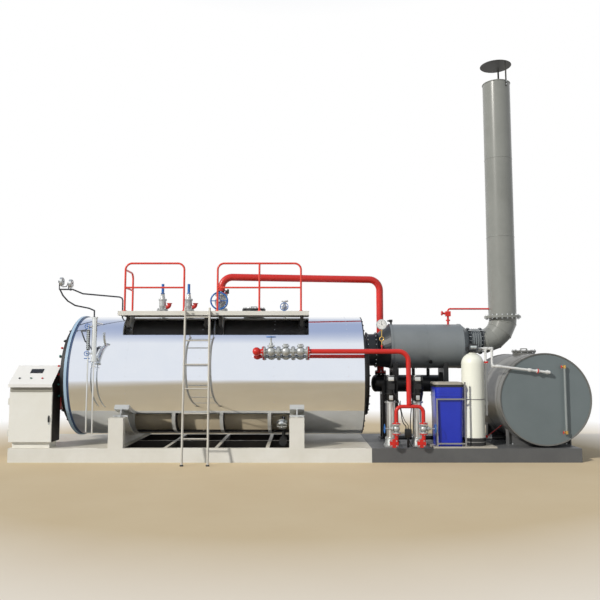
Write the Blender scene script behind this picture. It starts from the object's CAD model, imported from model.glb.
import math

import bmesh
import bpy
from mathutils import Matrix, Vector


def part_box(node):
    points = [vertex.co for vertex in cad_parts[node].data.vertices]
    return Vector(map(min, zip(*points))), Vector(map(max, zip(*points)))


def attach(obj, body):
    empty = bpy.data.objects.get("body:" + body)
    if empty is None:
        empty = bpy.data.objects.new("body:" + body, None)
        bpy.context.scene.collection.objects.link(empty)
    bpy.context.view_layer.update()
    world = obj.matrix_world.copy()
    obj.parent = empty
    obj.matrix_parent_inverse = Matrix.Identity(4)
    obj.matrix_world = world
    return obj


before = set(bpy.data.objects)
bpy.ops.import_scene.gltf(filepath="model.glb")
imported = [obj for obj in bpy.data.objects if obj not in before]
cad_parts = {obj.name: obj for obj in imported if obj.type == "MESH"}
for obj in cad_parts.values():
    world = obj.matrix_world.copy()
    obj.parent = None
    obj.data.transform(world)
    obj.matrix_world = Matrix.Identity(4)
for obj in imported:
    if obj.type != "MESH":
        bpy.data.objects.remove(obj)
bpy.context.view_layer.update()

# Studio: a pale floor that runs out to white, a white sky and one soft sun from the left front.
# The camera stands where the photograph was taken, 11.8 m in front of the skid at eye height.
floor_radius = 60
white_reach = (5.5, 10)
blue_way = (0, 0.3, 0.954)
blue_rise = (0.72, 0.98)


def srgb(code):
    """The linear colour of an sRGB hex value."""
    parts = [int(code[i : i + 2], 16) / 255 for i in (1, 3, 5)]
    return [*(c / 12.92 if c <= 0.04045 else ((c + 0.055) / 1.055) ** 2.4 for c in parts), 1]


def feed(tree, node, inputs):
    """Sets the inputs of a node, or links them where a socket is given."""
    for name, value in inputs.items():
        if isinstance(value, bpy.types.NodeSocket):
            tree.links.new(value, node.inputs[name])
        else:
            node.inputs[name].default_value = value


def add(tree, kind, inputs=None, **settings):
    """Adds a node of that kind with its settings, and links or sets its inputs."""
    made = tree.nodes.new(kind)
    for name, value in settings.items():
        setattr(made, name, value)
    feed(tree, made, inputs or {})
    return made


def noise(tree, place, scale, detail, roughness=0.5):
    """Noise from 0 to 1 of that many waves a metre."""
    inputs = {"Vector": place, "Scale": scale, "Detail": detail, "Roughness": roughness}
    return add(tree, "ShaderNodeTexNoise", inputs).outputs["Fac"]


def mix(tree, share, first, second):
    """The colour that lies a share of the way between two colours, each a hex value or a socket."""
    first, second = (srgb(c) if isinstance(c, str) else c for c in (first, second))
    return add(tree, "ShaderNodeMix", {0: share, 6: first, 7: second}, data_type="RGBA").outputs[2]


def ramp(tree, value, start=(0, 1), end=(0, 1)):
    """A value that runs from one pair of numbers, carried over to another pair."""
    inputs = {"Value": value, "From Min": start[0], "From Max": start[1], "To Min": end[0], "To Max": end[1]}
    return add(tree, "ShaderNodeMapRange", inputs).outputs["Result"]


def reckon(tree, operation, first, second):
    """The result of a sum on two values."""
    return add(tree, "ShaderNodeMath", {0: first, 1: second}, operation=operation).outputs[0]


def eye_or_mirror(tree):
    """1 for what the camera, metal or glass sees, and 0 for the light on matt surfaces."""
    path = add(tree, "ShaderNodeLightPath")
    sharp = reckon(tree, "MAXIMUM", path.outputs["Is Glossy Ray"], path.outputs["Is Transmission Ray"])
    return reckon(tree, "MAXIMUM", sharp, path.outputs["Is Camera Ray"])


def finish_of(name):
    """A new material, its node tree, its shader and the place on the object."""
    made = bpy.data.materials.new(name)
    made.use_nodes = True
    tree = made.node_tree
    return made, tree, tree.nodes["Principled BSDF"], add(tree, "ShaderNodeTexCoord").outputs["Object"]


# the floor is matt pale screed the colour of dry sand, and runs out to white: eye, metal and glass
# all see it so, and what it throws back on the plant is near neutral
screed, tree, skin, place = finish_of("pale_screed")
sharp = eye_or_mirror(tree)
mottle = noise(tree, place, 0.7, 5.0)
sand = mix(tree, mottle, "#D2BD99", "#DCCBAB")
matt = mix(tree, mottle, "#B0A99D", "#B9B2A6")
ground = mix(tree, sharp, matt, sand)
feed(tree, skin, {"Base Color": ground, "Roughness": 0.9, "Specular IOR Level": 0.1})
away = add(tree, "ShaderNodeVectorMath", {0: place}, operation="LENGTH").outputs["Value"]
seen = reckon(tree, "MULTIPLY", ramp(tree, away, white_reach), sharp)
white = add(tree, "ShaderNodeEmission", {"Color": srgb("#FFFFFF"), "Strength": 1.0})
blend = add(tree, "ShaderNodeMixShader", {0: seen, 1: skin.outputs[0], 2: white.outputs[0]})
tree.links.new(blend.outputs[0], tree.nodes["Material Output"].inputs["Surface"])

disc = bmesh.new()
bmesh.ops.create_circle(disc, cap_ends=True, segments=96, radius=floor_radius)
mesh = bpy.data.meshes.new("floor")
disc.to_mesh(mesh)
disc.free()
floor = bpy.data.objects.new("floor", mesh)
mesh.materials.append(screed)
bpy.context.scene.collection.objects.link(floor)

world = bpy.data.worlds.new("pale_sky")
bpy.context.scene.world = world
world.use_nodes = True
sky = world.node_tree
sky.nodes.clear()
# eye, metal and glass see a white sky that turns blue high overhead, out of the picture
way = add(sky, "ShaderNodeTexCoord").outputs["Generated"]
high = add(sky, "ShaderNodeVectorMath", {0: way, 1: blue_way}, operation="DOT_PRODUCT")
rise = ramp(sky, high.outputs["Value"], blue_rise)
tint = mix(sky, rise, "#FFFFFF", "#B4BFDA")
shown = add(sky, "ShaderNodeBackground", {"Color": tint, "Strength": 1.0})
lit = add(sky, "ShaderNodeBackground", {"Color": srgb("#E8EFFA"), "Strength": 0.44})
blend = add(sky, "ShaderNodeMixShader", {0: eye_or_mirror(sky), 1: lit.outputs[0], 2: shown.outputs[0]})
add(sky, "ShaderNodeOutputWorld", {"Surface": blend.outputs[0]})

sun_light = bpy.data.lights.new("soft_sun", "SUN")
sun_light.energy = 2.8
sun_light.angle = math.radians(3)
sun_light.color = srgb("#FFFBF4")[:3]
sun = bpy.data.objects.new("soft_sun", sun_light)
sun.rotation_euler = Vector((1.15, 1.0, -0.84)).to_track_quat("-Z", "Y").to_euler()
bpy.context.scene.collection.objects.link(sun)

lens = bpy.data.cameras.new("photograph")
lens.lens = 39.24
lens.sensor_width = 36
camera = bpy.data.objects.new("photograph", lens)
camera.location = (0.083, -11.795, 1.664)
camera.rotation_euler = (math.radians(95.17), 0, 0)
bpy.context.scene.collection.objects.link(camera)
bpy.context.scene.camera = camera
bpy.context.scene.view_settings.view_transform = "Standard"


# Boiler skid, saddles and walkways: rolled channels and plate, welded, sprayed with cream alkyd enamel.
# The plant's part of the skid is the same work in a mid grey. Decks are chequer plate with raised lozenges.
deck_z = 0.226
post_middles = (-2.909, 0.032)
post_wide = 0.242
post_face, post_back = 1.042, 0.925
channel_face = 1.03


def enamel(name, colour, aged, roughness=0.38, tread=False):
    """Sprayed alkyd enamel on steel: a little cloudy, with a fine orange peel, over raised lozenges on a tread."""
    made, tree, skin, place = finish_of(name)
    cloud = noise(tree, place, 1.7, 7.0, 0.62)
    spread = ramp(tree, cloud, (0.35, 0.68))
    coat = mix(tree, spread, srgb(colour), srgb(aged))
    feed(tree, skin, {"Base Color": coat})
    sheen = ramp(tree, cloud, end=(roughness - 0.06, roughness + 0.08))
    feed(tree, skin, {"Roughness": sheen})
    peel = noise(tree, place, 260.0, 2.0)
    bump = add(tree, "ShaderNodeBump", {"Height": peel, "Strength": 0.06, "Distance": 0.001})
    if tread:
        # lozenges 24 mm long and 7 mm wide, 36 mm apart, in two directions crossing each other
        tall = None
        for turn, shift in ((0.785, 0.0), (-0.785, 0.5)):
            grid = {"Vector": place, "Scale": (28, 28, 28), "Rotation": (0, 0, turn), "Location": (shift, shift, 0)}
            laid = add(tree, "ShaderNodeMapping", grid)
            cell = add(tree, "ShaderNodeVectorMath", {0: laid.outputs[0]}, operation="FRACTION")
            off = add(tree, "ShaderNodeVectorMath", {0: cell.outputs[0], 1: (0.5, 0.5, 0)}, operation="SUBTRACT")
            oval = add(tree, "ShaderNodeVectorMath", {0: off.outputs[0], 1: (1.5, 5.0, 0)}, operation="MULTIPLY")
            reach = add(tree, "ShaderNodeVectorMath", {0: oval.outputs[0]}, operation="LENGTH")
            lozenge = ramp(tree, reach.outputs["Value"], (0.55, 0.4))
            tall = lozenge if tall is None else reckon(tree, "MAXIMUM", tall, lozenge)
        raised = {"Height": tall, "Strength": 0.9, "Distance": 0.003, "Normal": bump.outputs[0]}
        bump = add(tree, "ShaderNodeBump", raised)
    feed(tree, skin, {"Normal": bump.outputs[0]})
    return made


def dress(made, *names):
    """Gives CAD nodes their finish."""
    for name in names:
        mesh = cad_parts[name].data
        mesh.materials.clear()
        mesh.materials.append(made)


def repaint(name, made, here):
    """Gives another finish to the faces of a CAD node whose middle is in the right place."""
    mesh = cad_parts[name].data
    mesh.materials.append(made)
    for face in mesh.polygons:
        if here(face.center, face.normal):
            face.material_index = len(mesh.materials) - 1


def piece(shape, name, made, body="plant"):
    """Turns a bmesh into a piece with its finish that rides a body."""
    bmesh.ops.recalc_face_normals(shape, faces=shape.faces)
    mesh = bpy.data.meshes.new(name)
    shape.to_mesh(mesh)
    shape.free()
    mesh.polygons.foreach_set("use_smooth", [True] * len(mesh.polygons))
    mesh.set_sharp_from_angle(angle=math.radians(35))
    mesh.materials.append(made)
    new = bpy.data.objects.new(name, mesh)
    bpy.context.scene.collection.objects.link(new)
    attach(new, body)


def cone(shape, place, low, high, depth, sides):
    """A round or many-sided bar on a place, with the radius of its low and its high end."""
    bmesh.ops.create_cone(
        shape, cap_ends=True, segments=sides, radius1=low, radius2=high, depth=depth, matrix=place
    )


def bar(shape, start, end, width, sides=24):
    """A round bar between two points."""
    start, end = Vector(start), Vector(end)
    turn = (end - start).to_track_quat("Z", "Y").to_matrix().to_4x4()
    cone(shape, Matrix.Translation((start + end) / 2) @ turn, width / 2, width / 2, (end - start).length, sides)


cream_enamel = enamel("cream_enamel", "#E7E5DD", "#DDDACF")
grey_enamel = enamel("grey_enamel", "#606161", "#555657", 0.45)
cream_tread = enamel("cream_chequer_plate", "#DCD7CA", "#CBC5B6", 0.5, tread=True)
grey_tread = enamel("grey_chequer_plate", "#676869", "#58595A", 0.5, tread=True)
dress(cream_enamel, "skid_boiler", "boiler_saddles", "walkway_left", "walkway_right")
dress(grey_enamel, "skid_plant", "tank_saddles")
repaint("skid_boiler", cream_tread, lambda at, way: at.z > deck_z - 0.001 and way.z > 0.9)
repaint("skid_plant", grey_tread, lambda at, way: at.z > deck_z - 0.001 and way.z > 0.9)
walk_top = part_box("walkway_left")[1].z
for name in ("walkway_left", "walkway_right"):
    repaint(name, cream_tread, lambda at, way: at.z > walk_top - 0.002 and way.z > 0.9)

# the skid's inner sides and the walkways' undersides are left in dark iron-oxide primer, matt and patchy
dark_primer = enamel("dark_primer", "#2B2825", "#37332E", 0.6)
repaint(
    "skid_boiler", dark_primer,
    lambda at, way: at.z < deck_z - 0.002 and way.z < 0.7 and abs(at.y) < 1.04 and -4.64 < at.x < 1.24,
)
for name in ("walkway_left", "walkway_right"):
    repaint(name, dark_primer, lambda at, way: way.z < -0.5 or (abs(way.y) > 0.7 and -0.797 < at.y < -0.23))

beads = bmesh.new()
for x in post_middles:
    for side in (-1, 1):
        y = side * post_face
        bar(beads, (x - post_wide / 2, y, deck_z), (x + post_wide / 2, y, deck_z), 0.012, 8)
        for end in (-1, 1):
            edge_x = x + end * post_wide / 2
            bar(beads, (edge_x, y, deck_z), (edge_x, side * post_back, deck_z), 0.012, 8)
for x in (-3.6, -1.9, -0.75, 0.75):
    for side in (-1, 1):
        bar(beads, (x, side * channel_face, deck_z), (x + 0.4, side * channel_face, deck_z), 0.01, 8)
piece(beads, "skid_weld_beads", cream_enamel)

# Boiler casing: wrapped sheets of mirror-polished stainless steel over the insulation.
# The sheets lap at four joints, each held by a row of small domed rivets.
joints_at = (-2.785, -1.565, -0.345, 0.875)
rivets_round = 44

# mirror-polished 304 stainless: sharp reflections, slightly drawn out by the sheet's waves
mirror_steel, tree, skin, place = finish_of("mirror_stainless")
stretch = add(tree, "ShaderNodeMapping", {"Vector": place, "Scale": (0.5, 1.6, 1.6)})
wave = noise(tree, stretch.outputs[0], 1.6, 2.0)
hand = noise(tree, place, 3.0, 4.0)
smear = ramp(tree, hand, end=(0.03, 0.1))
bump = add(tree, "ShaderNodeBump", {"Height": wave, "Strength": 0.12, "Distance": 0.02})
tint = mix(tree, hand, "#DCE2EC", "#E4E8EF")
feed(tree, skin, {"Base Color": tint, "Roughness": smear, "Normal": bump.outputs[0], "Metallic": 1})
dress(mirror_steel, "boiler_shell")

low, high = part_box("boiler_shell")
axis_z = (low.z + high.z) / 2
shell_r = (high.z - low.z) / 2
laps = bmesh.new()
for x in joints_at:
    bmesh.ops.create_cone(
        laps, cap_ends=False, segments=192, radius1=shell_r + 0.0012, radius2=shell_r + 0.0012, depth=0.035,
        matrix=Matrix.Translation((x, 0, axis_z)) @ Matrix.Rotation(math.pi / 2, 4, "Y"),
    )
bmesh.ops.solidify(laps, geom=laps.faces[:], thickness=0.001)
piece(laps, "casing_laps", mirror_steel)

heads = bmesh.new()
for x in joints_at:
    for i in range(rivets_round):
        turn = Matrix.Rotation(2 * math.pi * i / rivets_round, 4, "X")
        spot = Matrix.Translation((0, 0, axis_z)) @ turn @ Matrix.Translation((x, 0, shell_r + 0.001))
        bmesh.ops.create_uvsphere(heads, u_segments=8, v_segments=6, radius=0.006, matrix=spot)
piece(heads, "casing_rivets", mirror_steel)

# Front band and front end: a light blue enamelled steel hoop with a dark blue seal beside it.
# The end plate, the bolted rear smoke box and the hinged smoke-box door are in black heat-resisting paint.
seal_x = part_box("front_band")[0].x + 0.044
door_face = -3.905
rear_plate_x, smoke_box_x = 1.165, 1.26
port_y, port_z = 0.42, 1.72
knobs = ((1.851, 0), (1.717, 1), (1.55, 0), (1.413, 0), (1.245, 1), (1.053, 1))


def facing(centre, axis):
    """The place of a flat thing at a centre whose own Z looks along an axis."""
    return Matrix.Translation(centre) @ Vector(axis).to_track_quat("Z", "Y").to_matrix().to_4x4()


def bolts(shape, centre, axis, radius, count, across, start=0.0):
    """Hexagon heads on their washers, in a circle on a flange."""
    for i in range(count):
        turn = Matrix.Rotation(start + 2 * math.pi * i / count, 4, "Z")
        spot = facing(centre, axis) @ turn @ Matrix.Translation((radius, 0, across * 0.06))
        cone(shape, spot, across * 0.72, across * 0.72, across * 0.12, 16)
        spot = spot @ Matrix.Translation((0, 0, across * 0.4))
        cone(shape, spot, across * 0.577, across * 0.53, across * 0.7, 6)


def hoop(shape, place, thick, steps=72):
    """A round ring, such as a weld bead, on the unit circle of a place."""
    unit = bmesh.new()
    upright = Matrix.Translation((1, 0, 0)) @ Matrix.Rotation(math.pi / 2, 4, "X")
    bmesh.ops.create_circle(unit, segments=8, radius=thick / 2 / place.col[0].length, matrix=upright)
    section = unit.verts[:] + unit.edges[:]
    bmesh.ops.spin(
        unit, geom=section, cent=(0, 0, 0), axis=(0, 0, 1), angle=2 * math.pi, steps=steps, use_merge=True
    )
    bmesh.ops.transform(unit, matrix=place, verts=unit.verts)
    passing = bpy.data.meshes.new("passing")
    unit.to_mesh(passing)
    unit.free()
    shape.from_mesh(passing)
    bpy.data.meshes.remove(passing)


def ring(shape, centre, axis, radius, thick, steps=72):
    """A hoop round a centre that looks along an axis."""
    hoop(shape, facing(centre, axis) @ Matrix.Scale(radius, 4), thick, steps)


# sky-blue enamel hoop and a navy silicone seal, told apart by the place along the boiler
hoop_blue, tree, skin, place = finish_of("blue_enamel_hoop")
along = add(tree, "ShaderNodeSeparateXYZ", {0: place})
past = reckon(tree, "GREATER_THAN", along.outputs["X"], seal_x)
cloud = noise(tree, place, 2.5, 5.0)
light = mix(tree, cloud, "#B3CDE2", "#A6C4DC")
hue = mix(tree, past, light, "#3B5276")
feed(tree, skin, {"Base Color": hue, "Roughness": 0.35})
dress(hoop_blue, "front_band")

black_paint = enamel("black_heat_paint", "#121416", "#191C1F", 0.42)
dress(
    black_paint, "front_end_plate", "smokebox_door", "rear_smokebox", "manhole", "steam_header", "header_legs",
    "economizer_stand", "suction_pipe", "blowdown_pipe",
)
red_enamel = enamel("red_enamel", "#D6281E", "#C5221A", 0.3)
teal_knob = enamel("teal_phenolic", "#2F7F78", "#276C66", 0.3)

heads = bmesh.new()
bolts(heads, (seal_x - 0.064, 0, axis_z), (-1, 0, 0), 0.985, 36, 0.022)
bolts(heads, (door_face - 0.028, 0, axis_z), (-1, 0, 0), 0.825, 16, 0.03)
bolts(heads, (rear_plate_x, 0, axis_z), (1, 0, 0), 0.99, 36, 0.022)
bolts(heads, (smoke_box_x, 0, axis_z), (1, 0, 0), 0.688, 24, 0.022)
piece(heads, "end_plate_bolts", black_paint)

# zinc-plated bolts: bright, faintly blotched passivated zinc
zinc_plated, tree, skin, place = finish_of("zinc_plated_steel")
spangle = noise(tree, place, 90.0, 3.0)
tone = mix(tree, spangle, "#A9ADAF", "#C9CCCD")
rough = ramp(tree, spangle, end=(0.28, 0.46))
feed(tree, skin, {"Base Color": tone, "Roughness": rough, "Metallic": 0.9})

# clamp knobs on the door's front edge, and a sight port with its glass
for made, which in ((red_enamel, 0), (teal_knob, 1)):
    grips = bmesh.new()
    for z, kind in knobs:
        if kind == which:
            y = -math.sqrt(0.84**2 - (z - axis_z) ** 2)
            bar(grips, (door_face + 0.01, y, z), (door_face - 0.03, y, z), 0.018, 12)
            spot = Matrix.Translation((door_face - 0.038, y, z))
            bmesh.ops.create_uvsphere(grips, u_segments=16, v_segments=10, radius=0.019, matrix=spot)
    piece(grips, "red_clamp_knobs" if which == 0 else "teal_clamp_knobs", made)
port = bmesh.new()
bar(port, (door_face + 0.005, port_y, port_z), (door_face - 0.03, port_y, port_z), 0.15, 40)
ring(port, (door_face - 0.03, port_y, port_z), (-1, 0, 0), 0.062, 0.022, 40)
piece(port, "sight_port", black_paint)
heads = bmesh.new()
bolts(heads, (door_face - 0.03, port_y, port_z), (-1, 0, 0), 0.062, 6, 0.014)
piece(heads, "sight_port_bolts", zinc_plated)

# toughened sight glass: smooth, nearly black over the fire side
sight_glass, tree, skin, place = finish_of("dark_sight_glass")
haze = noise(tree, place, 30.0, 3.0)
soot = mix(tree, haze, "#0E1114", "#1C2126")
feed(tree, skin, {"Base Color": soot, "Roughness": 0.06})
pane = bmesh.new()
bar(pane, (door_face - 0.028, port_y, port_z), (door_face - 0.034, port_y, port_z), 0.095, 40)
piece(pane, "sight_port_glass", sight_glass)

# Burner: a pressed-steel fan casing and head in signal-red enamel on a bolted flange.
# Its motor is a black finned casting behind it, and an air grille closes the fan's eye in front.
fan_x, burner_z = -4.288, 1.2
flange_x = -3.929
motor_black = enamel("motor_black", "#0D0E10", "#141618", 0.36)
dress(red_enamel, "burner", "steam_pipe", "feed_pipe", "pump_manifold", "economizer_vent")
repaint("burner", motor_black, lambda at, way: at.y > 0.172 and at.x < -4.2)
heads = bmesh.new()
bolts(heads, (flange_x, 0, burner_z), (-1, 0, 0), 0.275, 12, 0.024)
piece(heads, "burner_flange_bolts", zinc_plated)
trim = bmesh.new()
ring(trim, (fan_x, -0.151, burner_z), (0, -1, 0), 0.12, 0.012, 48)
for i in range(7):
    ring(trim, (fan_x, -0.152, burner_z), (0, -1, 0), 0.03 + i * 0.013, 0.004, 40)
bar(trim, (fan_x, -0.148, burner_z), (fan_x, -0.16, burner_z), 0.05, 24)
piece(trim, "burner_air_grille", motor_black)

# Ladder: welded steel tube in warm grey enamel, bolted on the walkway's edge, in rubber shoes.
# The level column and the inspection opening beside it are in satin-ground stainless steel.

# satin-ground stainless: soft streaks along the tube
satin_steel, tree, skin, place = finish_of("satin_stainless")
stretch = add(tree, "ShaderNodeMapping", {"Vector": place, "Scale": (1.0, 1.0, 0.04)})
grind = noise(tree, stretch.outputs[0], 420.0, 3.0)
tone = mix(tree, grind, "#C9CCCB", "#DEE0DE")
rough = ramp(tree, grind, end=(0.24, 0.42))
feed(tree, skin, {"Base Color": tone, "Roughness": rough, "Metallic": 1})
dress(satin_steel, "level_column", "handhole")
dress(enamel("ladder_enamel", "#C9C5BA", "#BDB8AB", 0.35), "ladder")
rubber = enamel("black_rubber", "#222325", "#2B2C2E", 0.75)
repaint("ladder", rubber, lambda at, way: at.z < 0.0225)

# Guardrails: bent steel tube in orange-red enamel, welded to foot plates.
# Two zinc-plated bolts hold each foot plate on the walkway.
rail_posts = (
    (-2.882, -0.766), (-1.882, -0.766), (-2.882, -0.254), (-1.314, -0.766),
    (-0.606, -0.766), (0.1, -0.766), (0.1, -0.254),
)
rail_red = enamel("orange_red_enamel", "#EC4634", "#E03D2C", 0.32)
dress(rail_red, "guardrail_left", "guardrail_right")
heads = bmesh.new()
beads = bmesh.new()
for x, y in rail_posts:
    bolts(heads, (x, y, walk_top + 0.008), (0, 0, 1), 0.0255, 2, 0.011, start=0.8)
    ring(beads, (x, y, walk_top + 0.009), (0, 0, 1), 0.018, 0.007, 24)
piece(heads, "guardrail_bolts", zinc_plated)
piece(beads, "guardrail_welds", rail_red)

# Safety valves and steam valve: grey iron castings in aluminium paint with bolted flanges.
# The safety valves have blue spring caps and short red outlets.


def bolted(shape, middle, axis, radius, count, across, grip):
    """Bolts through a pair of flanges: heads on one face, nuts with the thread's end on the other."""
    middle, axis = Vector(middle), Vector(axis)
    for side in (-1, 1):
        bolts(shape, middle + side * axis * grip / 2, side * axis, radius, count, across)
    for i in range(count):
        turn = Matrix.Rotation(2 * math.pi * i / count, 4, "Z")
        end = facing(middle, axis) @ turn @ Matrix.Translation((radius, 0, grip / 2 + across * 0.6))
        cone(shape, end, across * 0.3, across * 0.24, across * 1.1, 10)


def block(shape, low, high, round_edge=0):
    """A box between two corners with its edges rounded."""
    low, high = Vector(low), Vector(high)
    size = Matrix.Diagonal((*(high - low), 1))
    made = bmesh.ops.create_cube(shape, size=1, matrix=Matrix.Translation((low + high) / 2) @ size)["verts"]
    if round_edge:
        edges = {e for v in made for e in v.link_edges}
        bmesh.ops.bevel(
            shape, geom=list(edges), offset=round_edge, segments=3, affect="EDGES", profile=0.5, material=-1,
            clamp_overlap=True,
        )


# aluminium-painted cast iron: matt, slightly grainy, brighter on the edges
cast_silver, tree, skin, place = finish_of("aluminium_painted_iron")
grain = noise(tree, place, 180.0, 4.0)
cloud = noise(tree, place, 9.0, 4.0)
tone = mix(tree, cloud, "#9FA3A3", "#C3C6C4")
bump = add(tree, "ShaderNodeBump", {"Height": grain, "Strength": 0.25, "Distance": 0.001})
feed(tree, skin, {"Base Color": tone, "Normal": bump.outputs[0], "Roughness": 0.42, "Metallic": 0.55})
dress(cast_silver, "safety_valves", "steam_valve", "vent_valve", "feed_valves", "pump_valves", "pump_casings")
wheel_blue = enamel("blue_wheel_enamel", "#1F62AE", "#2A74C2", 0.3)
dress(wheel_blue, "steam_wheel", "vent_wheel", "feed_wheel")
valves_at = (-2.403, -1.932)
steam_x, manhole_x, vent_x, riser_x = -1.34, -0.75, -0.197, 1.577
foot_z = 2.537
repaint("safety_valves", wheel_blue, lambda at, way: at.z > 2.842)
repaint(
    "safety_valves", red_enamel,
    lambda at, way: 2.564 < at.z < 2.7 and any(0.0635 < at.x - x < 0.3 for x in valves_at),
)
heads = bmesh.new()
for x in valves_at:
    bolted(heads, (x, 0, foot_z), (0, 0, 1), 0.083, 8, 0.018, 0.05)
    bolts(heads, (x, 0, 2.743), (0, 0, 1), 0.063, 6, 0.013)
    ring(heads, (x, 0, 2.87), (0, 0, 1), 0.0265, 0.006, 32)
bolted(heads, (steam_x, 0, foot_z), (0, 0, 1), 0.097, 8, 0.02, 0.048)
bolted(heads, (steam_x, 0, 2.837), (0, 0, 1), 0.097, 8, 0.02, 0.048)
bolts(heads, (steam_x, -0.1345, 2.687), (0, -1, 0), 0.08, 8, 0.018)
bolted(heads, (riser_x, 0.42, 1.415), (0, 0, 1), 0.088, 8, 0.02, 0.048)
bolted(heads, (manhole_x, 0, 2.542), (0, 0, 1), 0.188, 16, 0.022, 0.052)
piece(heads, "top_flange_bolts", zinc_plated)

# hard gaskets show as a dark line between the flanges, and a black clamp holds the steam bend
gaskets = bmesh.new()
for x, r in ((-2.403, 0.098), (-1.932, 0.098), (steam_x, 0.112)):
    bar(gaskets, (x, 0, 2.5358), (x, 0, 2.5382), 2 * r + 0.005, 40)
bar(gaskets, (steam_x, 0, 2.8355), (steam_x, 0, 2.8385), 0.232, 40)
ring(gaskets, (steam_x, 0, 2.885), (0, 0, 1), 0.068, 0.02, 48)
block(gaskets, (-1.275, -0.04, 2.865), (-1.215, 0.02, 2.905), 0.006)
block(gaskets, (-1.235, -0.05, 2.845), (-1.205, 0.03, 2.925), 0.006)
piece(gaskets, "top_gaskets", rubber)

# a small angled vent stands over the vent valve, black on its grey socket
stub = bmesh.new()
bar(stub, (vent_x, 0, 2.68), (vent_x, 0, 2.705), 0.066, 6)
bar(stub, (vent_x, 0, 2.7), (-0.135, 0, 2.715), 0.034, 20)
bar(stub, (-0.19, 0, 2.7), (-0.25, 0, 2.708), 0.02, 16)
piece(stub, "vent_top_fitting", cast_silver)

# Gauge pipework: black-painted iron tube with screwed fittings and two dial gauges in bright rims.
# The dial cards are white enamel, printed in black, and face the right-hand end.
iron_pipe = enamel("dark_iron_pipe", "#2B2F34", "#383D42", 0.45)
dress(iron_pipe, "gauge_pipework")
dials_at = ((-4.04, -0.6, 2.995), (-3.882, -0.6, 2.96))
for middle in dials_at:
    spot = Vector(middle)
    repaint("gauge_pipework", zinc_plated, lambda at, way: at.x > spot.x + 0.001 and (at - spot).length < 0.09)

# white enamelled dial card: smooth and satin, with black printed marks and numbers from 0 up
dial_white = enamel("white_dial_card", "#F4F4F1", "#ECECE8", 0.35)
dial_ink = enamel("black_dial_ink", "#16171A", "#202226", 0.4)


def dial(name, place, radius, reading, numbers):
    """A dial card with a graduated arc, numbers and a needle, on a place whose Z looks at the reader."""
    card = bmesh.new()
    cone(card, place, radius, radius * 0.985, 0.003, 64)
    piece(card, name + "_card", dial_white)
    marks = bmesh.new()
    for i in range(33):
        turn = Matrix.Rotation(math.radians(225 - 270 * i / 32), 4, "Z")
        long = 0.16 if i % 4 == 0 else 0.09
        size = Matrix.Diagonal((radius * long, radius * 0.022, 0.001, 1))
        out = Matrix.Translation((radius * (0.92 - long / 2), 0, 0.002))
        bmesh.ops.create_cube(marks, size=1, matrix=place @ turn @ out @ size)
    turn = Matrix.Rotation(math.radians(225 - 270 * reading), 4, "Z")
    hand = place @ turn @ Matrix.Translation((radius * 0.28, 0, 0.004)) @ Matrix.Rotation(math.pi / 2, 4, "Y")
    cone(marks, hand, radius * 0.05, radius * 0.01, radius * 0.95, 4)
    cone(marks, place @ Matrix.Translation((0, 0, 0.004)), radius * 0.09, radius * 0.07, 0.006, 20)
    for i, number in enumerate(numbers):
        turn = math.radians(225 - 270 * i / (len(numbers) - 1))
        words = bpy.data.curves.new("number", "FONT")
        words.body = number
        words.size = radius * 0.26
        words.align_x = words.align_y = "CENTER"
        words.extrude = 0.0004
        passing = bpy.data.objects.new("number", words)
        flat = bpy.data.meshes.new_from_object(passing)
        bpy.data.objects.remove(passing)
        out = (radius * 0.6 * math.cos(turn), radius * 0.6 * math.sin(turn), 0.002)
        flat.transform(place @ Matrix.Translation(out))
        marks.from_mesh(flat)
        bpy.data.meshes.remove(flat)
    piece(marks, name + "_marks", dial_ink)


look_right = Matrix(((0, 0, 1), (1, 0, 0), (0, 1, 0))).to_4x4()
look_front = Matrix(((1, 0, 0), (0, 0, -1), (0, 1, 0))).to_4x4()
for i, middle in enumerate(dials_at):
    place = Matrix.Translation(Vector(middle) + Vector((0.0452, 0, 0))) @ look_right
    dial(f"pressure_dial_{i + 1}", place, 0.064, 0.3, ("0", "1", "2"))

# Level column: a stainless standpipe with a plate gauge, cocks with blue wheels, and two drain tubes.
# The gauge's glass is held in a dark forged frame by two rows of bright nuts.
column_x = -3.27
plate_x = column_x - 0.098
plate_y = -1.12
plate_low, plate_high = 1.81, 2.14
repaint("level_column", wheel_blue, lambda at, way: at.y < plate_y - 0.053)
repaint(
    "level_column", wheel_blue,
    lambda at, way: abs(at.z - 1.675) < 0.0075 and abs(at.y - plate_y) < 0.0075 and at.x < plate_x + 0.03,
)
repaint(
    "level_column", motor_black,
    lambda at, way: abs(at.x - plate_x) < 0.0225 and abs(at.y - plate_y) < 0.0225 and 1.805 < at.z < 2.145,
)
repaint(
    "level_column", iron_pipe,
    lambda at, way: at.x < plate_x - 0.03 and at.z > 1.83 and at.y > plate_y - 0.05,
)
heads = bmesh.new()
for x in (plate_x - 0.0155, plate_x + 0.0155):
    for i in range(9):
        bolts(heads, (x, plate_y - 0.022, plate_low + 0.02 + i * 0.0362), (0, -1, 0), 0, 1, 0.0105)
for z in (1.626, 2.344):
    bolts(heads, (column_x, plate_y, z), (0, 0, 1 if z > 2 else -1), 0.042, 6, 0.012)
piece(heads, "plate_gauge_nuts", zinc_plated)

# toughened gauge glass: clear and smooth, pale from the steam and water behind it
gauge_glass, tree, skin, place = finish_of("gauge_glass")
haze = noise(tree, place, 25.0, 3.0)
pale = mix(tree, haze, "#B9C4C6", "#D6DEDF")
feed(tree, skin, {"Base Color": pale, "Roughness": 0.05})
pane = bmesh.new()
block(
    pane, (plate_x - 0.0075, plate_y - 0.0245, plate_low + 0.02),
    (plate_x + 0.0075, plate_y - 0.021, plate_high - 0.02), 0.001,
)
piece(pane, "plate_gauge_glass", gauge_glass)

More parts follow.
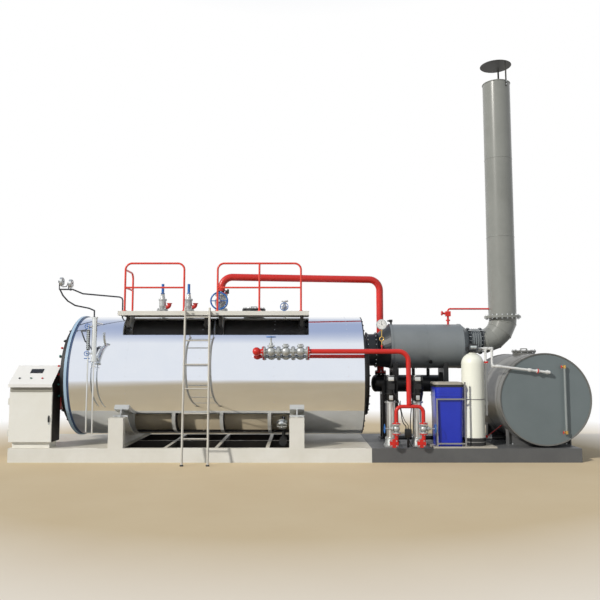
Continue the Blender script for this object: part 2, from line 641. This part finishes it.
# Inspection opening: a satin stainless ring round a crossbar cover on the lower casing.
# The cover has small bolts round its rim and one large nut in the middle.
handhole_x = -0.221
handhole_turn = math.radians(52)
down = Vector((0, -math.cos(handhole_turn), -math.sin(handhole_turn)))
heads = bmesh.new()
bolts(heads, Vector((handhole_x, 0, axis_z)) + down * (shell_r + 0.056), down, 0, 1, 0.03)
bolts(heads, Vector((handhole_x, 0, axis_z)) + down * (shell_r + 0.046), down, 0.075, 6, 0.012)
piece(heads, "inspection_nut", zinc_plated)

# Feed valves: three cast globe valves in aluminium paint, bolted in line with gaskets between their flanges.
# They run from a red elbow on the casing to the red feed pipe.
valve_y, valve_z = -1.085, 1.79
flanges_at = (-0.5105, -0.27, -0.03, 0.21)
repaint("feed_valves", red_enamel, lambda at, way: at.x < -0.511)
collar = bmesh.new()
bar(collar, (-0.528, valve_y, valve_z), (-0.5105, valve_y, valve_z), 0.165, 48)
ring(collar, (-0.53, valve_y, valve_z), (1, 0, 0), 0.041, 0.008, 40)
piece(collar, "feed_elbow_flange", red_enamel)
heads = bmesh.new()
for x in flanges_at:
    bolted(heads, (x, valve_y, valve_z), (1, 0, 0), 0.067, 8, 0.017, 0.036)
for x in (-0.39, -0.15, 0.09):
    bolts(heads, (x, valve_y, valve_z + 0.0959), (0, 0, 1), 0.05, 6, 0.012)
    ring(heads, (x, valve_y, valve_z + 0.118), (0, 0, 1), 0.031, 0.008, 32)
piece(heads, "feed_flange_bolts", zinc_plated)
gaskets = bmesh.new()
for x in flanges_at:
    bar(gaskets, (x - 0.001, valve_y, valve_z), (x + 0.001, valve_y, valve_z), 0.1665, 40)
piece(gaskets, "feed_gaskets", rubber)

# Discharge gauge: a dial in a bright zinc-plated rim, screwed on a cast brass siphon.
# It stands over the feed pipe on a gauge cock in the pipe's red enamel.
gauge_x, gauge_z = 1.419, 2.23
brass, tree, skin, place = finish_of("cast_brass")
cloud = noise(tree, place, 40.0, 4.0)
tone = mix(tree, cloud, "#B8954F", "#D2B06A")
rough = ramp(tree, cloud, end=(0.25, 0.42))
feed(tree, skin, {"Base Color": tone, "Roughness": rough, "Metallic": 0.9})
dress(brass, "discharge_gauge")
repaint(
    "discharge_gauge", zinc_plated,
    lambda at, way: at.z > 2.144
    and (at.y < valve_y - 0.0165 or (Vector((at.x, 0, at.z)) - Vector((gauge_x, 0, gauge_z))).length > 0.03),
)
repaint("discharge_gauge", red_enamel, lambda at, way: at.z < 1.9)
place = Matrix.Translation((gauge_x, valve_y - 0.0272, gauge_z)) @ look_front
dial("discharge_dial", place, 0.073, 0.45, ("0", "4", "8", "12", "16"))

# Feed pumps: satin stainless sleeves on cast feet in aluminium paint, bolted to the deck.
# Their motors are black finned castings with bare rating plates, over pressed coupling guards.
pumps_at = (1.59, 2.03)
pump_y = -0.8
dress(motor_black, "pump_motors")
repaint("pump_casings", satin_steel, lambda at, way: 0.38 < at.z < 0.945 and abs(at.y - pump_y) < 0.095)
repaint("pump_valves", wheel_blue, lambda at, way: at.x < 1.64 - 0.17 or at.x > 2.08 + 0.17)
heads = bmesh.new()
plates = bmesh.new()
guards = bmesh.new()
for x in pumps_at:
    for side in (-1, 1):
        for end in (-1, 1):
            bolts(heads, (x + side * 0.09, pump_y + end * 0.09, 0.254), (0, 0, 1), 0, 1, 0.018)
    for z in (0.471, 0.621):
        bolted(heads, (x + 0.05, valve_y, z), (0, 0, 1), 0.054, 4, 0.016, 0.032)
    bolts(heads, (x, -1.171, 0.321), (0, -1, 0), 0.056, 4, 0.016, start=0.785)
    bolts(heads, (x, pump_y, 0.966), (0, 0, 1), 0.0865, 4, 0.018, start=0.785)
    block(plates, (x - 0.045, -0.9085, 1.305), (x + 0.045, -0.904, 1.37), 0.0015)
    block(guards, (x - 0.028, -0.893, 0.99), (x + 0.028, -0.8895, 1.066), 0.001)
    for i in range(4):
        bar(guards, (x - 0.018 + i * 0.012, -0.8955, 1.0), (x - 0.018 + i * 0.012, -0.8955, 1.056), 0.004, 8)
    ring(guards, (x, pump_y, 1.386), (0, 0, 1), 0.07, 0.008, 40)
    for i in range(4):
        ring(guards, (x, pump_y, 1.387), (0, 0, 1), 0.012 + i * 0.014, 0.004, 32)
piece(heads, "pump_bolts", zinc_plated)
piece(plates, "pump_rating_plates", satin_steel)
piece(guards, "coupling_guards", satin_steel)

# black PVC conduit runs from the terminal boxes down to a junction box on the deck, clipped to its post
def conduit(name, points, width):
    """A round flexible conduit on a smooth line through the points."""
    line = bpy.data.curves.new(name, "CURVE")
    line.dimensions = "3D"
    line.bevel_depth = width / 2
    line.bevel_resolution = 4
    line.resolution_u = 12
    line.use_fill_caps = True
    run = line.splines.new("BEZIER")
    run.bezier_points.add(len(points) - 1)
    for knot, at in zip(run.bezier_points, points):
        knot.co = at
        knot.handle_left_type = knot.handle_right_type = "AUTO"
    passing = bpy.data.objects.new(name, line)
    mesh = bpy.data.meshes.new_from_object(passing)
    bpy.data.objects.remove(passing)
    shape = bmesh.new()
    shape.from_mesh(mesh)
    bpy.data.meshes.remove(mesh)
    bmesh.ops.remove_doubles(shape, verts=shape.verts, dist=0.00001)
    piece(shape, name, rubber)


box_x = 1.86
box = bmesh.new()
block(box, (box_x - 0.055, -0.93, 0.38), (box_x + 0.055, -0.87, 0.52), 0.008)
block(box, (box_x - 0.018, -0.91, 0.226), (box_x + 0.018, -0.885, 0.385), 0.002)
block(box, (box_x - 0.045, -0.934, 0.39), (box_x + 0.045, -0.929, 0.51), 0.002)
for x in (-0.035, 0, 0.035):
    bar(box, (box_x + x, -0.9, 0.518), (box_x + x, -0.9, 0.54), 0.022, 6)
piece(box, "pump_junction_box", motor_black)
left_run = (
    (1.62, -0.928, 1.172), (1.628, -0.935, 1.12), (1.70, -0.94, 0.98), (1.742, -0.93, 0.8),
    (1.78, -0.91, 0.62), (1.824, -0.9, 0.56), (1.825, -0.9, 0.535),
)
right_run = (
    (2.0, -0.928, 1.172), (1.985, -0.935, 1.1), (1.93, -0.95, 0.97), (1.905, -0.93, 0.78),
    (1.897, -0.91, 0.62), (1.895, -0.9, 0.535),
)
sensor_run = ((1.74, -0.87, 0.98), (1.76, -0.88, 0.8), (1.81, -0.9, 0.65), (1.86, -0.9, 0.58), (1.86, -0.9, 0.535))
deck_run = (
    (1.86, -0.9, 0.385), (1.875, -0.935, 0.33), (1.9, -0.96, 0.262), (1.93, -0.985, 0.2345), (1.99, -1.0, 0.2345),
)
conduit("conduit_left_pump", left_run, 0.016)
conduit("conduit_right_pump", right_run, 0.016)
conduit("conduit_sensor", sensor_run, 0.012)
conduit("conduit_deck", deck_run, 0.014)

# Steam header: a drum with dished ends in black heat-resisting paint, with a saddle leg near each end.
# Its three outlets are closed by blank flanges, and all its seams and necks are welded.
header_axis = (0.42, 1.22)
outlets_off = (0.31, 0.61, 0.883)
heads = bmesh.new()
for off in outlets_off:
    bolted(heads, (riser_x + off, header_axis[0], 1.524), (0, 0, 1), 0.054, 4, 0.016, 0.038)
for x in (1.6175, 2.5825):
    for side in (-1, 1):
        bolts(heads, (x + side * 0.052, header_axis[0], 0.24), (0, 0, 1), 0, 1, 0.018)
for x in (1.76, 2.65):
    for side in (-1, 1):
        bolts(heads, (x, side * 0.21, 0.241), (0, 0, 1), 0.051, 2, 0.018)
piece(heads, "header_bolts", zinc_plated)
beads = bmesh.new()
for x in (1.48, 2.72):
    ring(beads, (x, *header_axis), (1, 0, 0), 0.1552, 0.01)
for off in outlets_off:
    ring(beads, (riser_x + off, header_axis[0], 1.374), (0, 0, 1), 0.031, 0.008, 32)
ring(beads, (riser_x, header_axis[0], 1.374), (0, 0, 1), 0.066, 0.009, 40)
piece(beads, "header_weld_beads", black_paint)

# Flue: rolled plate, the neck and inlet cone in slate enamel, the economiser and ducts in mid grey.
# Flanges are bolted, plate edges are welded, and tie rods hold the bellows.
slate = enamel("slate_enamel", "#18222A", "#131B22", 0.42)
duct_grey = enamel("duct_grey_enamel", "#7F8588", "#757B7E", 0.36)
stack_grey = enamel("stack_grey_enamel", "#8C8E89", "#82847F", 0.22)
cap_dark = enamel("cap_grey_enamel", "#34322C", "#2C2A26", 0.5)
stack_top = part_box("chimney")[1].z
stack_x = 3.74
eco_z, eco_r = 1.9, 0.3905
neck_z, outlet_z = 1.83, 1.99
dress(slate, "flue_neck", "economizer_inlet", "bellows")
dress(duct_grey, "economizer_shell", "economizer_outlet")
dress(stack_grey, "chimney_elbow", "chimney")
dress(cap_dark, "rain_cap")
repaint("bellows", duct_grey, lambda at, way: 3.115 < at.x < 3.305)
heads = bmesh.new()
bolts(heads, (1.276, 0, neck_z), (1, 0, 0), 0.3, 20, 0.02)
bolts(heads, (1.434, 0, neck_z), (-1, 0, 0), 0.3, 20, 0.02)
for x, way in ((3.09, -1), (3.11, 1), (3.31, -1), (3.33, 1)):
    bolts(heads, (x, 0, outlet_z), (way, 0, 0), 0.2295, 20, 0.012)
bolted(heads, (stack_x, 0, 2.42), (0, 0, 1), 0.284, 20, 0.024, 0.04)
for side in (-62, 62):
    spot = Matrix.Translation((stack_x, 0, 0)) @ Matrix.Rotation(math.radians(side), 4, "Z")
    for z in (stack_top - 0.09, stack_top - 0.03):
        bolts(heads, spot @ Vector((0.253, 0, z)), spot.to_3x3() @ Vector((1, 0, 0)), 0, 1, 0.018)
piece(heads, "flue_bolts", zinc_plated)

ties = bmesh.new()
for i in range(4):
    turn = math.radians(45 + 90 * i)
    y, z = 0.258 * math.cos(turn), outlet_z + 0.258 * math.sin(turn)
    bar(ties, (3.07, y, z), (3.35, y, z), 0.014, 12)
    for x in (3.1, 3.32):
        lug = Vector((x, y, z))
        inner = Vector((x, 0.215 * math.cos(turn), outlet_z + 0.215 * math.sin(turn)))
        bar(ties, lug - Vector((0.006, 0, 0)), lug + Vector((0.006, 0, 0)), 0.05, 24)
        bar(ties, inner, lug, 0.012, 8)
        for side in (-1, 1):
            bar(ties, (x + side * 0.006, y, z), (x + side * 0.018, y, z), 0.026, 6)
piece(ties, "bellows_tie_rods", zinc_plated)

beads = bmesh.new()
ring(beads, (1.72, 0, eco_z), (1, 0, 0), eco_r, 0.008, 96)
ring(beads, (2.912, 0, eco_z), (1, 0, 0), eco_r, 0.008, 96)
ring(beads, (2.32, 0, eco_z), (1, 0, 0), eco_r, 0.006, 96)
bar(beads, (1.717, 0, 1.5095), (2.914, 0, 1.5095), 0.008, 8)
ring(beads, (2.954, 0, eco_z), (1, 0, 0), eco_r, 0.01, 96)
piece(beads, "economizer_weld_beads", duct_grey)
beads = bmesh.new()
ring(beads, (1.677, 0, eco_z), (1, 0, 0), 0.391, 0.012, 96)
ring(beads, (1.4505, 0, neck_z), (1, 0, 0), 0.286, 0.01, 80)
piece(beads, "inlet_cone_beads", slate)

# a black vent stub on the economiser's top and a drain plug on its lower front
fittings = bmesh.new()
bar(fittings, (1.725, 0, 2.285), (1.725, 0, 2.36), 0.036, 20)
block(fittings, (1.69, -0.03, 2.33), (1.75, 0.03, 2.375), 0.008)
bar(fittings, (1.69, 0, 2.352), (1.66, 0, 2.352), 0.03, 16)
side = Vector((0, -0.281, -0.27)).normalized()
plug = Vector((2.37, 0, eco_z))
bar(fittings, plug + side * 0.385, plug + side * 0.42, 0.06, 24)
bar(fittings, plug + side * 0.42, plug + side * 0.44, 0.032, 6)
piece(fittings, "economizer_fittings", black_paint)

# weld beads where the elbow's mitred segments meet, and round the chimney every 1.45 m of plate
beads = bmesh.new()
bend = Vector((3.33, 0, 2.4))
for i in range(1, 5):
    lean = math.radians((i - 0.5) * 22.5)
    turn = math.radians(min(i, 4) * 22.5)
    skew = math.tan(lean - turn)
    out = Vector((math.sin(turn) + skew * math.cos(turn), 0, -math.cos(turn) + skew * math.sin(turn)))
    r = 0.2 + 0.045 * i / 5
    across = -out * r
    flat = Matrix(((across.x, 0, 0, 0), (0, r, 0, 0), (across.z, 0, 0, 0), (0, 0, 0, 1)))
    through = Vector((across.x, 0, across.z)).cross(Vector((0, 1, 0))).normalized() * r
    flat.col[2] = (*through, 0)
    hoop(beads, Matrix.Translation(bend + 0.41 * out) @ flat, 0.009)
for z in (3.87, 5.32):
    ring(beads, (stack_x, 0, z), (0, 0, 1), 0.2455, 0.008)
ring(beads, (stack_x, 0, 2.443), (0, 0, 1), 0.248, 0.014)
ring(beads, (stack_x, 0, stack_top - 0.01), (0, 0, 1), 0.247, 0.016)
bar(beads, (stack_x, 0.2445, 2.445), (stack_x, 0.2445, stack_top - 0.02), 0.008, 8)
piece(beads, "stack_weld_beads", stack_grey)

# red knob of the economiser's vent valve
knob = bmesh.new()
bar(knob, (2.66, 0, 2.49), (2.635, 0, 2.493), 0.075, 10)
for i in range(10):
    turn = 2 * math.pi * i / 10
    spot = Matrix.Translation((2.6475, 0.036 * math.cos(turn), 2.4915 + 0.036 * math.sin(turn)))
    bmesh.ops.create_uvsphere(knob, u_segments=8, v_segments=6, radius=0.008, matrix=spot)
piece(knob, "vent_knob", red_enamel)

# Water softener: a rotomoulded blue brine tank with a beige lid in a grey tube frame on a beige base,
# and a gel-coated fibreglass vessel held to the frame by a strap, with a black foot and control head.
base_beige = enamel("beige_base", "#BDB7AA", "#ACA699", 0.5)
frame_grey = enamel("grey_frame_enamel", "#8F8E8B", "#82817E", 0.4)
head_black = enamel("black_abs", "#1B1C1E", "#26272A", 0.4)
head_grey = enamel("grey_abs", "#5C6165", "#54595D", 0.45)
dress(base_beige, "softener_base")
repaint("softener_base", frame_grey, lambda at, way: at.z > 0.2502)

# rotomoulded polyethylene: slightly waxy, with a shallow pebbled skin
brine_blue, tree, skin, place = finish_of("blue_polyethylene")
pebble = noise(tree, place, 140.0, 3.0)
cloud = noise(tree, place, 3.0, 5.0)
bump = add(tree, "ShaderNodeBump", {"Height": pebble, "Strength": 0.2, "Distance": 0.001})
tone = mix(tree, cloud, "#2137C0", "#1C30AE")
feed(tree, skin, {"Base Color": tone, "Normal": bump.outputs[0], "Roughness": 0.3, "Subsurface Weight": 0.05})
dress(brine_blue, "brine_tank")
low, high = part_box("brine_tank")
repaint("brine_tank", head_black, lambda at, way: at.z > high.z - 0.0755)
repaint("brine_tank", base_beige, lambda at, way: at.z > high.z - 0.037)

# gel-coated fibreglass: even cream with the faint winding of the glass under it
vessel_cream, tree, skin, place = finish_of("cream_fibreglass")
wound = add(tree, "ShaderNodeMapping", {"Vector": place, "Scale": (3, 3, 90)})
strand = noise(tree, wound.outputs[0], 1.0, 3.0)
bump = add(tree, "ShaderNodeBump", {"Height": strand, "Strength": 0.08, "Distance": 0.002})
tone = mix(tree, strand, "#F5F6EA", "#EEEFDF")
feed(tree, skin, {"Base Color": tone, "Normal": bump.outputs[0], "Roughness": 0.3})
dress(vessel_cream, "softener_vessel")
repaint("softener_vessel", head_black, lambda at, way: at.z < 0.381 or at.z > 1.7695)

vessel_x, vessel_y, vessel_r = 2.975, -0.77, 0.184
top_z = 1.842
straps = bmesh.new()
for z, thick in ((1.004, 0.016), (0.31, 0.014), (0.376, 0.01)):
    ring(straps, (vessel_x, vessel_y, z), (0, 0, 1), vessel_r + (0.001 if z > 0.5 else 0.006), thick, 96)
block(straps, (vessel_x - 0.17, vessel_y - 0.13, 0.995), (vessel_x - 0.14, vessel_y - 0.11, 1.015), 0.003)
bar(straps, (2.777, -1.023, 1.004), (2.87, vessel_y - 0.155, 1.004), 0.014, 12)
piece(straps, "vessel_straps", frame_grey)

dress(head_black, "softener_head")
repaint("softener_head", head_grey, lambda at, way: at.y < vessel_y - 0.1002)
buttons = bmesh.new()
for i in range(4):
    x = vessel_x - 0.035 + i * 0.022
    bar(buttons, (x, vessel_y - 0.105, top_z), (x, vessel_y - 0.11, top_z), 0.012, 16)
piece(buttons, "softener_buttons", base_beige)
screen = bmesh.new()
block(screen, (vessel_x - 0.05, vessel_y - 0.1085, 1.855), (vessel_x + 0.05, vessel_y - 0.105, 1.885), 0.002)
piece(screen, "softener_screen", gauge_glass)

# white PVC pressure pipe: solvent-welded sockets at each bend, smooth with a soft sheen
pvc_white = enamel("white_pvc", "#DEDFDD", "#D6D7D4", 0.28)
dress(pvc_white, "water_pipes")
tap_y = -1.07
drop_x, cross_x, cross_z = 3.196, 3.306, 1.55
sockets = bmesh.new()
for start, end in (
    ((drop_x - 0.03, vessel_y, top_z), (drop_x + 0.03, vessel_y, top_z)),
    ((drop_x, vessel_y, top_z), (drop_x, vessel_y, top_z - 0.045)),
    ((cross_x - 0.045, vessel_y, top_z), (cross_x, vessel_y, top_z)),
    ((cross_x, vessel_y, top_z), (cross_x, vessel_y, top_z - 0.045)),
    ((cross_x, vessel_y, cross_z + 0.045), (cross_x, vessel_y, cross_z)),
    ((cross_x, vessel_y, cross_z), (cross_x, vessel_y - 0.05, cross_z)),
    ((cross_x, tap_y + 0.05, cross_z), (cross_x, tap_y, cross_z)),
    ((cross_x, tap_y, cross_z), (cross_x + 0.05, tap_y, cross_z - 0.006)),
    ((4.09, tap_y, 1.4565), (4.145, tap_y, 1.45)),
    ((4.145, tap_y, 1.45), (4.145, tap_y + 0.05, 1.45)),
):
    bar(sockets, start, end, 0.052, 32)
piece(sockets, "pipe_sockets", pvc_white)
taps = bmesh.new()
ring(taps, (3.96, tap_y, 1.472), (1, 0, -0.119), 0.031, 0.018, 40)
bar(taps, (drop_x, vessel_y - 0.055, 1.612), (drop_x, vessel_y - 0.073, 1.612), 0.03, 16)
block(taps, (drop_x - 0.045, vessel_y - 0.09, 1.598), (drop_x + 0.02, vessel_y - 0.072, 1.626), 0.006)
piece(taps, "red_valve_handles", red_enamel)
fitting = bmesh.new()
ring(fitting, (4.145, -0.992, 1.45), (0, 1, 0), 0.028, 0.014, 40)
bar(fitting, (4.145, -0.995, 1.45), (4.145, -0.986, 1.45), 0.075, 6)
piece(fitting, "tank_inlet_fitting", pvc_white)

# Feed tank: rolled steel in satin dark grey, with rolled rims, welded hoops and a bolted manhole.
# Its level gauge is a steel tube between brass cocks with red levers.
tank_grey = enamel("tank_grey_enamel", "#70706D", "#656663", 0.36)
head_paint = enamel("tank_head_enamel", "#6B7577", "#656F71", 0.42)
gauge_steel = enamel("gauge_tube_steel", "#8F9695", "#7F8685", 0.3)
tank_x, tank_z, tank_r = 4.105, 1.01, 0.745
level_x = 4.405
dress(tank_grey, "tank_shell", "tank_manhole")
dress(head_paint, "tank_front_head", "tank_back_head")
dress(gauge_steel, "tank_level_gauge")
repaint("tank_level_gauge", brass, lambda at, way: abs(abs(at.z - tank_z) - 0.53) < 0.03 and at.x < level_x + 0.024)
repaint("tank_level_gauge", red_enamel, lambda at, way: at.x < level_x - 0.036)
beads = bmesh.new()
for y, thick, over in ((-0.998, 0.012, 0.004), (0.998, 0.012, 0.004), (-0.8, 0.01, 0), (0, 0.008, 0), (0.8, 0.01, 0)):
    ring(beads, (tank_x, y, tank_z), (0, 1, 0), tank_r + over, thick, 128)
for side in (-1, 1):
    ring(beads, (tank_x, side * 0.987, tank_z), (0, 1, 0), tank_r - 0.009, 0.01, 128)
ring(beads, (tank_x, 0, 1.757), (0, 0, 1), 0.192, 0.012, 64)
piece(beads, "tank_weld_beads", tank_grey)
heads = bmesh.new()
bolted(heads, (tank_x, 0, 1.804), (0, 0, 1), 0.194, 12, 0.018, 0.03)
for y in (-0.6, 0.6):
    for x in (-0.45, 0.45):
        for side in (-1, 1):
            bolts(heads, (tank_x + x, y + side * 0.042, 0.242), (0, 0, 1), 0, 1, 0.02)
for z in (0.48, 1.54):
    ring(heads, (level_x, -0.988, z), (0, 1, 0), 0.019, 0.012, 32)
piece(heads, "tank_bolts", zinc_plated)

# the suction line's valve has a red lever beside the tank
suction_y, suction_z = -0.38, 0.321
lever = bmesh.new()
bar(lever, (3.28, -0.40, 0.33), (3.5, -0.44, 0.51), 0.013, 16)
bar(lever, (3.5, -0.44, 0.51), (3.545, -0.448, 0.547), 0.022, 16)
bar(lever, (3.28, suction_y, suction_z), (3.28, -0.43, 0.345), 0.05, 20)
piece(lever, "suction_valve_lever", red_enamel)
collars = bmesh.new()
for x in (3.2, 3.36):
    bar(collars, (x - 0.008, suction_y, suction_z), (x + 0.008, suction_y, suction_z), 0.13, 32)
bar(collars, (3.2, suction_y, suction_z), (3.36, suction_y, suction_z), 0.088, 32)
piece(collars, "suction_valve_body", cast_silver)

# Control cabinet: folded sheet steel, powder coated cream, on a plinth; a hinged door and a sloping desk.
# The desk has a dark display and three push buttons in chromed rings; the shaded side panel is black.
powder_coat = enamel("cream_powder_coat", "#F0EFE7", "#EAE8DE", 0.42)
desk_coat = enamel("pale_desk_coat", "#F3F2EE", "#EDECE7", 0.42)
strip_grey = enamel("grey_edge_strip", "#A7A498", "#9A978B", 0.42)
side_black = enamel("black_side_panel", "#1A1716", "#23201E", 0.55)
green_cap = enamel("green_button", "#1E6B4E", "#1A5F45", 0.3)
dress(powder_coat, "cabinet_body", "cabinet_door")
dress(desk_coat, "cabinet_desk")
repaint("cabinet_body", strip_grey, lambda at, way: at.y < -1.0112 and at.z > 1.132)
for name in ("cabinet_body", "cabinet_desk"):
    repaint(name, side_black, lambda at, way: at.x > -3.956 and way.x > 0.9)
repaint("cabinet_door", motor_black, lambda at, way: at.y < -1.0455)

slope = math.atan2(0.3, 0.369)
plane = Vector((0, -math.sin(slope), math.cos(slope)))
rising = Vector((0, math.cos(slope), math.sin(slope)))
edge = Vector((-4.645, -1.09, 1.258))
desk_wide = 0.69


def on_slope(at, left, right):
    """Whether a place is a button's, proud of the slope near its foot, between two places along the desk."""
    off = at - edge
    return off.dot(plane) > 0.001 and off.dot(rising) < 0.2 and left < at.x < right


repaint("cabinet_desk", motor_black, lambda at, way: (at - edge).dot(plane) > 0.001)
repaint("cabinet_desk", green_cap, lambda at, way: on_slope(at, -4.4, -4.25))
repaint("cabinet_desk", red_enamel, lambda at, way: on_slope(at, -4.2, edge.x + desk_wide))
rings = bmesh.new()
for i in range(3):
    middle = edge + Vector((desk_wide * (0.18 + i * 0.27), 0, 0)) + rising * 0.1427 + plane * 0.004
    ring(rings, middle, plane, 0.0165, 0.006, 32)
piece(rings, "button_rings", zinc_plated)
screen = bmesh.new()
spot = edge + Vector((desk_wide * 0.51, 0, 0)) + rising * 0.328 + plane * 0.0055
lie = Matrix.Translation(spot) @ Matrix.Rotation(slope, 4, "X")
bmesh.ops.create_cube(screen, size=1, matrix=lie @ Matrix.Diagonal((0.18, 0.078, 0.002, 1)))
piece(screen, "desk_display", sight_glass)
gasket = bmesh.new()
block(gasket, (-4.64, -1.0172, 0.335), (-3.96, -1.0165, 0.35))
block(gasket, (-4.64, -1.0172, 1.1), (-3.96, -1.0165, 1.118))
piece(gasket, "door_seal", rubber, "door")
lock = bmesh.new()
bar(lock, (-3.995, -1.045, 0.62), (-3.995, -1.052, 0.62), 0.026, 24)
piece(lock, "door_lock", zinc_plated, "door")
